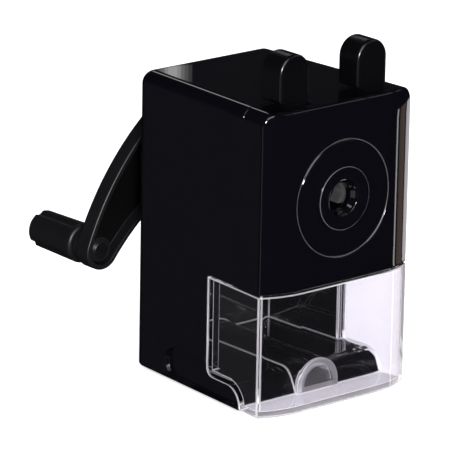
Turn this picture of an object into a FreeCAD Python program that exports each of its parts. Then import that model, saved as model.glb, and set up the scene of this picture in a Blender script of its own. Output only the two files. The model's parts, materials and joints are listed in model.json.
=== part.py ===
import FreeCAD, Part
import math
import os

Vector = FreeCAD.Vector
Rotation = FreeCAD.Rotation
Placement = FreeCAD.Placement

# Hand-cranked pencil sharpener with a pull-out gripping head and a clear shavings drawer.
# Millimetres. +Z up, the pencil hole faces -Y, the origin is the middle of the base on the table.

SIZES = [
    ("body_height", 100.0, "top of the housing above the table"),
    ("front_width", 62.0, "width at the front corners"),
    ("rear_width", 53.5, "width at the rear face"),
    ("body_depth", 66.5, "front corners to rear face"),
    ("front_bulge", 4.0, "how far the middle of the front stands ahead of its corners"),
    ("front_flat", 32.0, "width of the flat middle of the front"),
    ("head_thickness", 10.0, "front corners to the seam between head and housing"),
    ("head_height", 58.6, "gripping head, from its underside to its top"),
    ("crown_height", 9.0, "band below the head's top edge that leans back"),
    ("seam_gap", 0.3, "gap between head and housing"),
    ("wall", 2.6, "wall of housing and head"),
    ("front_wall", 3.0, "front wall of the head"),
    ("edge_round", 4.5, "radius of the housing's top and rear edges"),
    ("rim_round", 1.2, "radius of the small edges"),
    ("foot_height", 0.8, "non-slip pad below the housing"),
    ("pad_inset", 2.0, "edge of the base to the edge of the pad"),
    ("shelf_height", 7.5, "top of the base under the drawer"),
    ("toe_round", 6.0, "bullnose along the front of the base"),
    ("step_round", 3.5, "inner corner of the side cut-out"),
    ("drawer_reach", 27.5, "front corners to the rear edge of the side cut-out"),
    ("finger_recess", 1.5, "depth of the finger recess in each side"),
    ("recess_length", 49.0, "front corners to the rear end of the finger recess"),
    ("recess_top", 11.8, "upper edge of the finger recess"),
    ("recess_bottom", 2.0, "lower edge of the finger recess"),
    ("rail_radius", 6.0, "half-round rail along the base"),
    ("rail_top", 11.0, "top of the rail"),
    ("rail_start", 17.0, "front corners to the front end of the rail"),
    ("rail_end", 56.0, "front corners to the rear end of the rail"),
    ("drawer_wall", 2.0, "drawer wall"),
    ("drawer_gap", 0.4, "room round the drawer"),
    ("drawer_back_room", 5.9, "back of the drawer to the rear wall"),
    ("drawer_bottom", 0.9, "underside of the drawer"),
    ("tunnel_front", 6.8, "front corners to the closed end of the drawer's tunnel"),
    ("axis_drop", 31.0, "top of the head to the pencil and crank axis"),
    ("ring_radius", 19.0, "decorative ring groove on the head"),
    ("ring_width", 0.7, "width of that groove"),
    ("ring_depth", 0.5, "depth of that groove"),
    ("guide_radius", 10.3, "pencil guide insert"),
    ("guide_proud", 0.4, "guide insert in front of the head"),
    ("mouth_radius", 6.9, "funnel mouth"),
    ("pencil_bore", 4.5, "radius of the pencil hole"),
    ("fit_play", 0.05, "radial room of a pin in its hole"),
    ("back_plate", 2.5, "plate that closes the head"),
    ("lever_depth", 5.0, "thickness of a jaw lever"),
    ("lever_gap", 0.95, "room between lever and back plate"),
    ("pivot_x", 16.0, "lever pivot from the middle"),
    ("pivot_drop", 10.0, "top of the head to the lever pivot"),
    ("pivot_radius", 1.5, "lever pivot pin"),
    ("tab_width", 12.4, "pinch tab"),
    ("tab_depth", 9.6, "pinch tab"),
    ("tab_height", 15.4, "pinch tab"),
    ("tab_gap", 1.2, "top of the head to the underside of the pinch tab"),
    ("tab_front", 2.0, "front corners to the front of the tab"),
    ("neck_width", 8.0, "lever between tab and pivot"),
    ("lever_wrist", 7.2, "width of the lever above the jaw"),
    ("lever_foot", 6.4, "width of the lever below the jaw"),
    ("jaw_gap", 5.2, "gap between the closed jaws"),
    ("jaw_length", 5.6, "steel jaw"),
    ("jaw_height", 7.0, "steel jaw"),
    ("jaw_depth", 4.0, "steel jaw"),
    ("rod_radius", 2.0, "guide rod"),
    ("rod_room", 0.4, "rod clip to the side wall"),
    ("rod_drop", 11.0, "crank axis to the guide rods"),
    ("boss_gap", 0.15, "rod boss to the ring gear"),
    ("rod_tail", 5.25, "rear end of the guide rods to the rear face"),
    ("bulkhead_front", 3.2, "seam to the bulkhead"),
    ("bulkhead", 3.0, "bulkhead thickness"),
    ("bulkhead_hole", 12.0, "radius of the hole in the bulkhead"),
    ("boss_length", 4.0, "rod boss behind the bulkhead"),
    ("boss_radius", 3.6, "rod boss and clip"),
    ("clip_width", 1.4, "clip at the end of a guide rod"),
    ("wire_radius", 0.4, "spring wire"),
    ("coil_radius", 2.9, "middle of the return spring's wire"),
    ("jaw_coil_radius", 2.03, "middle of the jaw spring's wire"),
    ("cutter_tilt", 11.5, "angle between cutter and pencil axis"),
    ("cutter_turn", 45.0, "rest angle of the cutter, below the right-hand side"),
    ("apex_behind", 4.75, "rear face to the point where cutter and pencil axes meet"),
    ("cutter_radius", 4.6, "tips of the cutter's teeth"),
    ("cutter_twist", 120.0, "turn of the cutting edges from end to end"),
    ("tooth_depth", 0.92, "depth of the cutting teeth"),
    ("cutter_start", 20.3, "apex to the rear end of the cutter"),
    ("cutter_setback", 10.55, "bulkhead to the front end of the cutter"),
    ("pinion_setback", 4.05, "bulkhead to the front of the pinion"),
    ("axle_radius", 1.5, "cutter axle"),
    ("axle_start", 14.5, "apex to the rear end of the cutter axle"),
    ("axle_proud", 0.55, "front end of the cutter axle past the ring gear"),
    ("gear_rim", 3.0, "ring gear outside its teeth"),
    ("gear_back", 10.8, "length of the ring gear behind the bulkhead"),
    ("gear_mouth", 3.4, "plain front part of the ring gear"),
    ("carrier_front", 0.8, "bulkhead to the carrier's front plate"),
    ("carrier_plate", 2.0, "carrier's front plate"),
    ("carrier_radius", 13.4, "carrier's front plate"),
    ("block_ahead", 17.8, "apex to the front of the carrier's rear block"),
    ("block_length", 5.6, "carrier's rear block"),
    ("block_radius", 9.0, "carrier's rear block"),
    ("shell_wall", 2.2, "carrier's half shell"),
    ("shell_sweep", 120.0, "angle of the carrier's half shell"),
    ("tip_room", 1.4, "room round the pencil's point in the half shell"),
    ("shaft_radius", 4.0, "drive shaft"),
    ("shaft_seat", 1.4, "depth of the drive shaft in the carrier"),
    ("bush_radius", 6.5, "bearing bush in the rear wall"),
    ("bush_flange", 8.5, "flange of the bush"),
    ("flange_width", 1.0, "flange of the bush"),
    ("hub_gap", 0.3, "bush flange to crank hub"),
    ("arm_front", 11.8, "rear face to the front of the crank arm"),
    ("arm_thickness", 6.5, "crank arm"),
    ("arm_wall", 1.6, "rim round the hollow front of the crank arm"),
    ("arm_floor", 2.2, "back of the hollow crank arm"),
    ("hub_radius", 13.4, "wide end of the crank arm"),
    ("arm_end_radius", 6.5, "outer end of the crank arm"),
    ("knob_x", 30.6, "knob axis left of the crank axis"),
    ("knob_drop", 32.1, "knob axis below the crank axis"),
    ("arm_bow", 2.9, "how far the curved arm leaves the straight line"),
    ("pin_boss", 4.2, "radius of the boss round the knob's pin inside the arm"),
    ("pin_recess", 1.6, "rim of the arm to the boss round the knob's pin"),
    ("boss_reach", 2.8, "boss behind the end of the arm"),
    ("knob_gap", 0.5, "boss to knob"),
    ("knob_length", 22.6, "knob"),
    ("knob_radius", 6.6, "knob at the arm"),
    ("knob_tip_radius", 6.2, "knob at its free end"),
    ("flute_radius", 1.5, "grooves along the knob"),
    ("knob_pin", 2.5, "radius of the pin inside the knob"),
    ("knob_cap", 5.2, "closed end of the knob"),
    ("pin_end_room", 1.3, "end of the pin to the closed end of the knob"),
    ("screw_head", 4.2, "radius of the crank screw's head"),
    ("screw_height", 2.0, "height of the crank screw's head"),
    ("screw_shank", 1.6, "radius of the crank screw in the drive shaft"),
    ("screw_length", 8.0, "crank screw below its head"),
    ("slot_width", 1.2, "slot in the crank screw's head"),
    ("slot_depth", 0.9, "slot in the crank screw's head"),
]
PINION_TEETH = 8
RING_TEETH = 27
CUTTER_TEETH = 10
CUTTER_SECTIONS = 9
FLUTES = 3
FLUTE_START = 105.0
SPRING_TURNS = 7
# Tooth heights in modules and tooth widths as shares of the pitch, at root and tip
TOOTH_ROOT = 1.15
RING_TIP = 0.75
PINION_TIP = 0.8
GEAR_RELIEF = 1.3
ROOT_SHARE = 0.62
RING_TIP_SHARE = 0.3
PINION_TIP_SHARE = 0.26
EDGE_SHARE = 0.3
# Length of the guide's inner funnel for each millimetre that it narrows
FUNNEL_LENGTH = 1.1
# How far a cut reaches past the face where it starts or ends
PAST = 1.0

doc = FreeCAD.newDocument("CrankSharpener")
sheet = doc.addObject("Spreadsheet::Sheet", "Sizes")
for row, (alias, value, note) in enumerate(SIZES, 1):
    sheet.set("A%d" % row, alias)
    sheet.set("B%d" % row, str(value))
    sheet.setAlias("B%d" % row, alias)
    sheet.set("C%d" % row, note)
doc.recompute()
nodes = []


def size(alias):
    """A driving size, as a number."""
    return float(sheet.get(alias))


# Places that follow from the driving sizes
FRONT_Y = -size("body_depth") / 2
REAR_Y = size("body_depth") / 2
NOSE_Y = FRONT_Y - size("front_bulge")
SEAM_Y = FRONT_Y + size("head_thickness")
HEAD_BACK = SEAM_Y - size("seam_gap")
PLATE_FRONT = HEAD_BACK - size("back_plate")
LEVER_BACK = PLATE_FRONT - size("lever_gap")
CUT_Y = FRONT_Y + size("drawer_reach")
TAPER = (size("front_width") - size("rear_width")) / 2 / size("body_depth")
TAPER_ANGLE = math.degrees(math.atan(TAPER))
AXIS_Z = size("body_height") - size("axis_drop")
HEAD_BOTTOM = size("body_height") - size("head_height")
PIVOT_Z = size("body_height") - size("pivot_drop")
TAB_BOTTOM = size("body_height") + size("tab_gap")
TAB_TOP = TAB_BOTTOM + size("tab_height")
BULKHEAD_Y = SEAM_Y + size("bulkhead_front")
BULKHEAD_BACK = BULKHEAD_Y + size("bulkhead")
CARRIER_Y = BULKHEAD_BACK + size("carrier_front")
TILT = math.radians(size("cutter_tilt"))
TURNED = Placement(Vector(0, 0, AXIS_Z), Rotation(Vector(0, 1, 0), size("cutter_turn")))
ARM_Y = REAR_Y + size("arm_front")
ARM_BACK = ARM_Y + size("arm_thickness")
KNOB = Vector(-size("knob_x"), 0, AXIS_Z - size("knob_drop"))
KNOB_Y = ARM_BACK + size("boss_reach") + size("knob_gap")
KNOB_CAP_Y = KNOB_Y + size("knob_length") - size("knob_cap")
DRAWER_BACK = REAR_Y - size("wall") - size("drawer_back_room")
APEX_Y = REAR_Y + size("apex_behind")
GEAR_REACH = APEX_Y - BULKHEAD_BACK
CUTTER_END = GEAR_REACH - size("cutter_setback")
PINION_END = GEAR_REACH - size("pinion_setback")
AXLE_END = GEAR_REACH + size("axle_proud")
BLOCK_Y = APEX_Y - size("block_ahead")
SHAFT_Y = BLOCK_Y + size("block_length") - size("shaft_seat")
ROD_END = REAR_Y - size("rod_tail")


def half_width(y):
    """Outer half width of the tapered plan at depth y."""
    return size("front_width") / 2 - TAPER * (y - FRONT_Y)


# Both gears are cones with their tips at the point where the two axes meet,
# so the tooth outlines are written for a distance of 1 from that point.
RATIO = RING_TEETH / PINION_TEETH
PINION_SLOPE = math.sin(TILT) / (RATIO - math.cos(TILT))
RING_SLOPE = math.tan(TILT + math.atan(PINION_SLOPE))
MODULE = 2 * PINION_SLOPE / PINION_TEETH
GEAR_MOUTH = GEAR_REACH - size("gear_mouth")
GEAR_BORE = GEAR_MOUTH * (RING_SLOPE + GEAR_RELIEF * MODULE)
GEAR_RADIUS = GEAR_BORE + size("gear_rim")

# The guide rods run close to the side walls, clear of the ring gear
ROD_X = half_width(ROD_END) - size("wall") - size("boss_radius") - size("rod_room")
ROD_FROM_AXIS = GEAR_RADIUS + size("boss_radius") + size("boss_gap")
ROD_Z = AXIS_Z - max(size("rod_drop"), math.sqrt(max(ROD_FROM_AXIS ** 2 - ROD_X ** 2, 0)))


def polar(center, radius, degrees):
    """Point at an angle on a circle in a sketch plane."""
    angle = math.radians(degrees)
    return (center[0] + radius * math.cos(angle), center[1] + radius * math.sin(angle))


def new_body(label):
    """An empty body that becomes one sub-part."""
    body = doc.addObject("PartDesign::Body", label)
    body.Label = label
    nodes.append(body)
    return body


def draw(sketch, path):
    """A closed outline: each entry is a corner, or (middle, end) of an arc."""
    start = path[0]
    here = start
    for entry in list(path[1:]) + [start]:
        if isinstance(entry[0], tuple):
            middle, end = entry
            sketch.addGeometry(Part.Arc(Vector(*here), Vector(*middle), Vector(*end)))
        else:
            end = entry
            if math.dist(here, end) > 1e-6:
                sketch.addGeometry(Part.LineSegment(Vector(*here), Vector(*end)))
        here = end


def add_sketch(body, role, offset, paths=(), circles=(), turn=None, shift=(0, 0)):
    """A sketch of outlines and circles on an origin plane, moved along its normal."""
    sketch = body.newObject("Sketcher::SketchObject", body.Label + "_sketch")
    plane = [feature for feature in body.Origin.OriginFeatures if feature.Role == role][0]
    sketch.AttachmentSupport = (plane, [""])
    sketch.MapMode = "FlatFace"
    base = Vector(shift[0], shift[1], 0 if isinstance(offset, str) else offset)
    sketch.AttachmentOffset = Placement(base, Rotation(Vector(0, 1, 0), turn or 0))
    if isinstance(offset, str):
        sketch.setExpression(".AttachmentOffset.Base.z", offset)
    for path in paths:
        draw(sketch, path)
    for x, y, radius in circles:
        sketch.addGeometry(Part.Circle(Vector(x, y), Vector(0, 0, 1), radius))
    return sketch


def set_length(feature, length):
    """A length bound to the sheet when it is an expression, or worked out here."""
    if isinstance(length, str):
        feature.setExpression("Length", length)
    else:
        feature.Length = length
    doc.recompute()


def pad(body, sketch, length, both_ways=False):
    """Add the sketch's prism to the body."""
    feature = body.newObject("PartDesign::Pad", body.Label + "_pad")
    feature.Profile = sketch
    feature.Midplane = both_ways
    set_length(feature, length)


def pocket(body, sketch, length, flip=False, both_ways=False):
    """Cut the sketch's prism from the body, and make sure that it cuts."""
    before = body.Shape.Volume
    feature = body.newObject("PartDesign::Pocket", body.Label + "_pocket")
    feature.Profile = sketch
    feature.Reversed = flip
    feature.Midplane = both_ways
    set_length(feature, length)
    if not body.Shape.Volume < before - 1e-6:
        raise RuntimeError(body.Label + ": a pocket cuts nothing")


def round_edges(body, radius, wanted):
    """Fillet the edges of the body's tip whose middle satisfies wanted(point)."""
    tip = body.Tip
    names = []
    for number, edge in enumerate(tip.Shape.Edges, 1):
        middle = edge.valueAt((edge.FirstParameter + edge.LastParameter) / 2)
        if wanted(middle):
            names.append("Edge%d" % number)
    if not names:
        raise RuntimeError(body.Label + ": no edge to round")
    feature = body.newObject("PartDesign::Fillet", body.Label + "_round")
    feature.Base = (tip, names)
    feature.setExpression("Radius", radius)
    doc.recompute()


def near(value, target, room=0.01):
    """True when two sizes are the same."""
    return abs(value - target) < room


def front_bow():
    """Radius of the bowed parts beside and above the flat middle of the front."""
    reach = size("front_width") / 2 - size("front_flat") / 2
    bulge = size("front_bulge")
    return (reach * reach + bulge * bulge) / (2 * bulge)


def front_plan(inset, back, back_inset):
    """Plan of the bowed front with its two sides, inset by a wall."""
    radius = front_bow()
    flat = size("front_flat") / 2
    center_y = NOSE_Y + radius
    side = size("front_width") / 2 - inset
    angle = math.degrees(math.asin((side - flat) / (radius - inset)))
    right = (flat, center_y)
    left = (-flat, center_y)
    corner = polar(right, radius - inset, -90 + angle)
    return [
        (-(half_width(back) - back_inset), back),
        (-corner[0], corner[1]),
        (polar(left, radius - inset, -90 - angle / 2), (-flat, NOSE_Y + inset)),
        (flat, NOSE_Y + inset),
        (polar(right, radius - inset, -90 + angle / 2), corner),
        (half_width(back) - back_inset, back),
    ]


def plan(front, back, inset):
    """Tapered plan between two depths, inset by a wall."""
    return [
        (-(half_width(front) - inset), front),
        (half_width(front) - inset, front),
        (half_width(back) - inset, back),
        (-(half_width(back) - inset), back),
    ]


def step_profile(front, room, back):
    """Side cut-out above the base: shelf, bullnose and inner corner, grown by room."""
    shelf = size("shelf_height") + room
    toe = SEAM_Y - room
    nose = size("toe_round") + room
    inner = size("step_round") - room
    nose_center = (toe + nose, shelf - nose)
    inner_center = (back - inner, shelf + inner)
    return [
        (toe, shelf - nose),
        (polar(nose_center, nose, 135), (toe + nose, shelf)),
        (back - inner, shelf),
        (polar(inner_center, inner, -45), (back, shelf + inner)),
        (back, HEAD_BOTTOM),
        (front, HEAD_BOTTOM),
        (front, shelf - nose),
    ]


def make_housing():
    """Tapered shell, open at the front and below, with the side cut-outs for the drawer."""
    body = new_body("housing")
    foot = size("foot_height")
    pad(body, add_sketch(body, "XY_Plane", "Sizes.foot_height", [plan(SEAM_Y, REAR_Y, 0)]),
        "Sizes.body_height - Sizes.foot_height")
    round_edges(body, "Sizes.edge_round", lambda p: p.y > SEAM_Y + PAST and p.z > foot + PAST)
    round_edges(body, "Sizes.rim_round", lambda p: p.y > SEAM_Y + PAST and near(p.z, foot))
    inside = plan(SEAM_Y - PAST, REAR_Y - size("wall"), size("wall"))
    pocket(body, add_sketch(body, "XY_Plane", foot - PAST, [inside]),
           size("body_height") - foot - size("wall") + PAST, flip=True)
    cut_out = step_profile(SEAM_Y - size("head_thickness"), 0, CUT_Y)
    pocket(body, add_sketch(body, "YZ_Plane", 0, [cut_out]), "2 * Sizes.front_width", both_ways=True)
    length, top, bottom = size("recess_length"), size("recess_top"), size("recess_bottom")
    end = (top - bottom) / 2
    recess = [
        (0, bottom),
        (length - end, bottom),
        ((length, bottom + end), (length - end, top)),
        (0, top),
    ]
    for side in (-1, 1):
        floor = side * (size("front_width") / 2 - size("finger_recess"))
        sketch = add_sketch(body, "YZ_Plane", floor, [recess], turn=side * TAPER_ANGLE, shift=(FRONT_Y, 0))
        pocket(body, sketch, size("finger_recess") + PAST, flip=side > 0)
    hole = [(0, AXIS_Z, size("bush_radius"))]
    pocket(body, add_sketch(body, "XZ_Plane", -(REAR_Y - size("wall") - PAST), circles=hole),
           size("wall") + 2 * PAST)


def make_base():
    """Base plate with a bullnose front and the half-round rail along its middle."""
    body = new_body("base_plate")
    inset = size("wall") + size("fit_play")
    back = REAR_Y - inset
    shelf = size("shelf_height")
    pad(body, add_sketch(body, "XY_Plane", "Sizes.foot_height", [plan(SEAM_Y, back, inset)]),
        "Sizes.shelf_height - Sizes.foot_height")
    round_edges(body, "Sizes.toe_round", lambda p: near(p.y, SEAM_Y) and near(p.z, shelf))
    radius = size("rail_radius")
    middle = size("rail_top") - radius
    rail = [(-radius, middle), (radius, middle), ((0, size("rail_top")), (-radius, middle))]
    pad(body, add_sketch(body, "XZ_Plane", "Sizes.body_depth / 2 - Sizes.rail_end", [rail]),
        "Sizes.rail_end - Sizes.rail_start")
    grip = new_body("non_slip_pad")
    edge = size("pad_inset")
    outline = plan(SEAM_Y + edge, back - edge, inset + edge)
    pad(grip, add_sketch(grip, "XY_Plane", 0, [outline]), "Sizes.foot_height")


def make_drawer():
    """Clear drawer: wide in front, narrow inside the housing, stepped over base and rail."""
    body = new_body("drawer")
    gap, wall = size("drawer_gap"), size("drawer_wall")
    bottom = size("drawer_bottom")
    step = size("shelf_height") + gap
    top = HEAD_BOTTOM - gap
    back = CUT_Y - gap
    inner = size("wall") + gap
    pad(body, add_sketch(body, "XY_Plane", "Sizes.drawer_bottom", [front_plan(0, back, 0)]), top - bottom)
    round_edges(body, "Sizes.rim_round", lambda p: p.y < back - PAST and near(p.z, bottom))
    pad(body, add_sketch(body, "XY_Plane", step, [plan(back - wall, DRAWER_BACK, inner)]), top - step)
    pocket(body, add_sketch(body, "XY_Plane", top, [front_plan(wall, back - wall, wall)]),
           top - bottom - wall)
    pocket(body, add_sketch(body, "XY_Plane", top, [plan(back - 2 * wall, DRAWER_BACK - wall, inner + wall)]),
           top - step - wall)
    toe = step_profile(0, gap, back)
    raised = step_profile(0, gap + wall, back)
    ramp_front = raised[0][0]
    ramp = [raised[0], raised[1], (back, step + wall), (back, bottom), (ramp_front, bottom)]
    ramp_width = half_width(ramp_front) - wall + half_width(back)
    pad(body, add_sketch(body, "YZ_Plane", 0, [ramp]), ramp_width, both_ways=True)
    radius = size("rail_radius") + gap
    outer = radius + wall
    middle = size("rail_top") - size("rail_radius")
    tunnel_front = FRONT_Y + size("tunnel_front")
    tunnel = [(-outer, bottom), (outer, bottom), (outer, middle),
              ((0, middle + outer), (-outer, middle))]
    pad(body, add_sketch(body, "XZ_Plane", -DRAWER_BACK, [tunnel]), DRAWER_BACK - tunnel_front)
    below = [toe[0], toe[1], (DRAWER_BACK + PAST, step), (DRAWER_BACK + PAST, bottom - PAST),
             (toe[0][0], bottom - PAST)]
    pocket(body, add_sketch(body, "YZ_Plane", 0, [below]), "2 * Sizes.front_width", both_ways=True)
    round_edges(body, "Sizes.step_round - Sizes.drawer_gap", lambda p: near(p.y, back) and near(p.z, step))
    bore = [(-radius, bottom - PAST), (radius, bottom - PAST), (radius, middle),
            ((0, middle + radius), (-radius, middle))]
    pocket(body, add_sketch(body, "XZ_Plane", -(tunnel_front + wall), [bore]), "Sizes.body_depth")


def make_bar(label, x, z, start, end, radius):
    """A round bar along Y as a sub-part, with its radius bound to a driving size."""
    bar = doc.addObject("Part::Cylinder", label)
    bar.Label = label
    bar.setExpression("Radius", radius)
    bar.Height = end - start
    bar.Placement = Placement(Vector(x, start, z), Rotation(Vector(1, 0, 0), -90))
    nodes.append(bar)


def make_head():
    """Gripping head: bowed front, hollow from behind, with two slots for the pinch tabs."""
    body = new_body("head_shell")
    top, wall = size("body_height"), size("wall")
    flat = size("front_flat") / 2
    pad(body, add_sketch(body, "XY_Plane", HEAD_BOTTOM, [front_plan(0, HEAD_BACK, 0)]), "Sizes.head_height")
    crown = front_bow()
    height = size("crown_height")
    low = (NOSE_Y, top - height)
    lean = math.degrees(math.asin(height / crown))
    center = (NOSE_Y + crown, top - height)
    high = polar(center, crown, 180 - lean)
    front = NOSE_Y - PAST
    lean_back = [low, (polar(center, crown, 180 - lean / 2), high), (high[0], top + PAST),
                 (front, top + PAST), (front, top - height)]
    pocket(body, add_sketch(body, "YZ_Plane", 0, [lean_back]), "2 * Sizes.front_width", both_ways=True)
    round_edges(body, "Sizes.edge_round",
                lambda p: near(p.z, top) and FRONT_Y < p.y < HEAD_BACK - PAST and abs(p.x) > flat)
    round_edges(body, "Sizes.rim_round", lambda p: p.y < FRONT_Y and near(p.z, top) and abs(p.x) < flat)
    hollow = front_plan(size("front_wall"), HEAD_BACK + PAST, wall)
    pocket(body, add_sketch(body, "XY_Plane", HEAD_BOTTOM + wall, [hollow]),
           "Sizes.head_height - 2 * Sizes.wall", flip=True)
    inner = size("pivot_x") - size("neck_width") / 2 - wall
    outer = size("pivot_x") + size("neck_width") / 2 + wall / 2
    slot_front = LEVER_BACK - size("lever_depth") - size("seam_gap")
    for side in (-1, 1):
        slot = [
            (side * inner, slot_front),
            (side * outer, slot_front),
            (side * outer, PLATE_FRONT),
            (side * inner, PLATE_FRONT),
        ]
        pocket(body, add_sketch(body, "XY_Plane", top + PAST, [slot]), wall + 2 * PAST)
    hole = [(0, AXIS_Z, size("guide_radius") + size("fit_play"))]
    pocket(body, add_sketch(body, "XZ_Plane", -(NOSE_Y - PAST), circles=hole), size("front_wall") + 2 * PAST)
    groove = [(0, AXIS_Z, size("ring_radius") + side * size("ring_width") / 2) for side in (-1, 1)]
    pocket(body, add_sketch(body, "XZ_Plane", -(NOSE_Y + size("ring_depth")), circles=groove),
           size("ring_depth") + PAST, flip=True)


def make_back_plate():
    """Plate that closes the head and carries the guide rods and lever pins."""
    body = new_body("head_back_plate")
    side = half_width(HEAD_BACK) - size("wall") - size("fit_play")
    low = HEAD_BOTTOM + size("wall") + size("fit_play")
    high = size("body_height") - size("wall") - size("fit_play")
    outline = [(-side, low), (side, low), (side, high), (-side, high)]
    circles = [(0, AXIS_Z, size("pencil_bore") + size("wall") / 2)]
    for sign in (-1, 1):
        circles.append((sign * ROD_X, ROD_Z, size("rod_radius")))
        circles.append((sign * size("pivot_x"), PIVOT_Z, size("pivot_radius")))
    pad(body, add_sketch(body, "XZ_Plane", -HEAD_BACK, [outline], circles), "Sizes.back_plate")


def make_guide():
    """Insert with the funnel that leads the pencil in."""
    body = new_body("pencil_guide")
    front = NOSE_Y - size("guide_proud")
    back = NOSE_Y + size("front_wall") + size("wall") / 2
    bore, mouth, outer = size("pencil_bore"), size("mouth_radius"), size("guide_radius")
    step = mouth - bore
    rim = size("rim_round") / 2
    profile = [
        (bore, back),
        (bore, front + FUNNEL_LENGTH * step),
        (mouth - step / 2, front + step / 2),
        (mouth - step / 2, front + step / 4),
        (mouth, front),
        (outer - rim, front),
        (polar((outer - rim, front + rim), rim, -45), (outer, front + rim)),
        (outer, NOSE_Y + size("front_wall")),
        (bore + size("wall"), NOSE_Y + size("front_wall")),
        (bore + size("wall"), back),
    ]
    sketch = add_sketch(body, "XY_Plane", 0, [profile])
    turn = body.newObject("PartDesign::Revolution", "pencil_guide_turn")
    turn.Profile = sketch
    turn.ReferenceAxis = (sketch, ["V_Axis"])
    turn.Angle = 360
    body.Placement.Base = Vector(0, 0, AXIS_Z)
    doc.recompute()


def make_lever(label, side):
    """Jaw lever with its pinch tab, in one moulding."""
    body = new_body(label)
    x, z = size("pivot_x"), PIVOT_Z
    half = size("neck_width") / 2
    foot = size("jaw_gap") / 2 + size("jaw_length")
    low, high = AXIS_Z - half, AXIS_Z + half
    outline = [
        (side * (x - half), TAB_BOTTOM),
        (side * (x + half), TAB_BOTTOM),
        (side * (x + half), z),
        (side * (foot + size("lever_wrist")), high),
        (side * (foot + size("lever_foot")), low),
        (side * foot, low),
        (side * foot, high),
        (side * (x - half), z),
    ]
    pad(body, add_sketch(body, "XZ_Plane", -LEVER_BACK, [outline]), "Sizes.lever_depth")
    wide = size("tab_width") / 2
    shoulder = TAB_TOP - wide
    rim = size("rim_round")
    tab = [
        (side * (x - wide + rim), TAB_BOTTOM),
        (side * (x + wide - rim), TAB_BOTTOM),
        (side * (x + wide), TAB_BOTTOM + rim),
        (side * (x + wide), shoulder),
        ((side * x, TAB_TOP), (side * (x - wide), shoulder)),
        (side * (x - wide), TAB_BOTTOM + rim),
    ]
    front = FRONT_Y + size("tab_front")
    back = front + size("tab_depth")
    pad(body, add_sketch(body, "XZ_Plane", -back, [tab]), "Sizes.tab_depth")
    round_edges(body, "Sizes.rim_round",
                lambda p: p.z > TAB_BOTTOM + 2 * rim and (near(p.y, front) or near(p.y, back)))
    hole = [(side * x, z, size("pivot_radius") + size("fit_play"))]
    pocket(body, add_sketch(body, "XZ_Plane", -(LEVER_BACK - size("lever_depth") - PAST), circles=hole),
           size("lever_depth") + 2 * PAST)


def make_jaw(label, side):
    """Steel jaw with a notched gripping face."""
    body = new_body(label)
    start = size("jaw_gap") / 2
    half = size("jaw_height") / 2
    outline = [
        (side * start, AXIS_Z - half),
        (side * (start + size("jaw_length")), AXIS_Z - half),
        (side * (start + size("jaw_length")), AXIS_Z + half),
        (side * start, AXIS_Z + half),
        (side * (start + half / 2), AXIS_Z),
    ]
    offset = (size("lever_depth") - size("jaw_depth")) / 2
    pad(body, add_sketch(body, "XZ_Plane", -(LEVER_BACK - offset), [outline]), "Sizes.jaw_depth")


def make_bulkhead():
    """Inner frame that carries the ring gear and guides the rods."""
    body = new_body("bulkhead")
    side = half_width(BULKHEAD_BACK) - size("wall") - size("fit_play")
    low = HEAD_BOTTOM + size("wall")
    high = size("body_height") - size("wall") - size("fit_play")
    outline = [(-side, low), (side, low), (side, high), (-side, high)]
    hole = [(0, AXIS_Z, size("bulkhead_hole"))]
    pad(body, add_sketch(body, "XZ_Plane", -BULKHEAD_BACK, [outline], hole), "Sizes.bulkhead")
    for sign in (-1, 1):
        boss = add_sketch(body, "XZ_Plane", -(BULKHEAD_BACK + size("boss_length")),
                          circles=[(sign * ROD_X, ROD_Z, size("boss_radius"))])
        pad(body, boss, "Sizes.boss_length")
        bore = add_sketch(body, "XZ_Plane", -(BULKHEAD_Y - PAST),
                          circles=[(sign * ROD_X, ROD_Z, size("rod_radius") + size("fit_play"))])
        pocket(body, bore, size("bulkhead") + size("boss_length") + 2 * PAST)


def make_clip(label, side):
    """Clip that holds the return spring on its rod."""
    body = new_body(label)
    x = side * ROD_X
    circles = [(x, ROD_Z, size("boss_radius")), (x, ROD_Z, size("rod_radius"))]
    back = ROD_END - size("clip_width")
    pad(body, add_sketch(body, "XZ_Plane", -back, circles=circles), "Sizes.clip_width")


def gear_outline(teeth, inner, outer, inner_share, outer_share, phase):
    """Toothed outline: straight flanks, tooth centres at phase plus whole pitches."""
    pitch = 360.0 / teeth
    points = []
    for tooth in range(teeth):
        middle = phase + tooth * pitch
        points.append(polar((0, 0), inner, middle - inner_share * pitch / 2))
        points.append(polar((0, 0), outer, middle - outer_share * pitch / 2))
        points.append(polar((0, 0), outer, middle + outer_share * pitch / 2))
        points.append(polar((0, 0), inner, middle + inner_share * pitch / 2))
    return points


def cone_solid(points, start, end):
    """Solid between two distances from the apex, with the outline drawn at distance 1."""
    wires = []
    for distance in (start, end):
        corners = [Vector(x * distance, y * distance, distance) for x, y in points]
        wires.append(Part.makePolygon(corners + corners[:1]))
    return Part.makeLoft(wires, True, True)


def put(label, shape, placement):
    """A sub-part whose shape is worked out here."""
    feature = doc.addObject("Part::Feature", label)
    feature.Label = label
    feature.Shape = shape
    feature.Placement = placement
    nodes.append(feature)


ON_AXIS = TURNED * Placement(Vector(0, APEX_Y, 0), Rotation(Vector(1, 0, 0), 90))
OUTWARD = Vector(math.cos(TILT), math.sin(TILT), 0)
ALONG = Vector(math.sin(TILT), -math.cos(TILT), 0)
ON_CUTTER = TURNED * Placement(Vector(0, APEX_Y, 0),
                               Rotation(OUTWARD, Vector(0, 0, 1), ALONG, "ZXY"))


def cutter_bar(radius, start, end):
    """A round bar along the cutter's axis."""
    return Part.makeCylinder(radius, end - start, Vector(0, 0, start))


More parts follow.
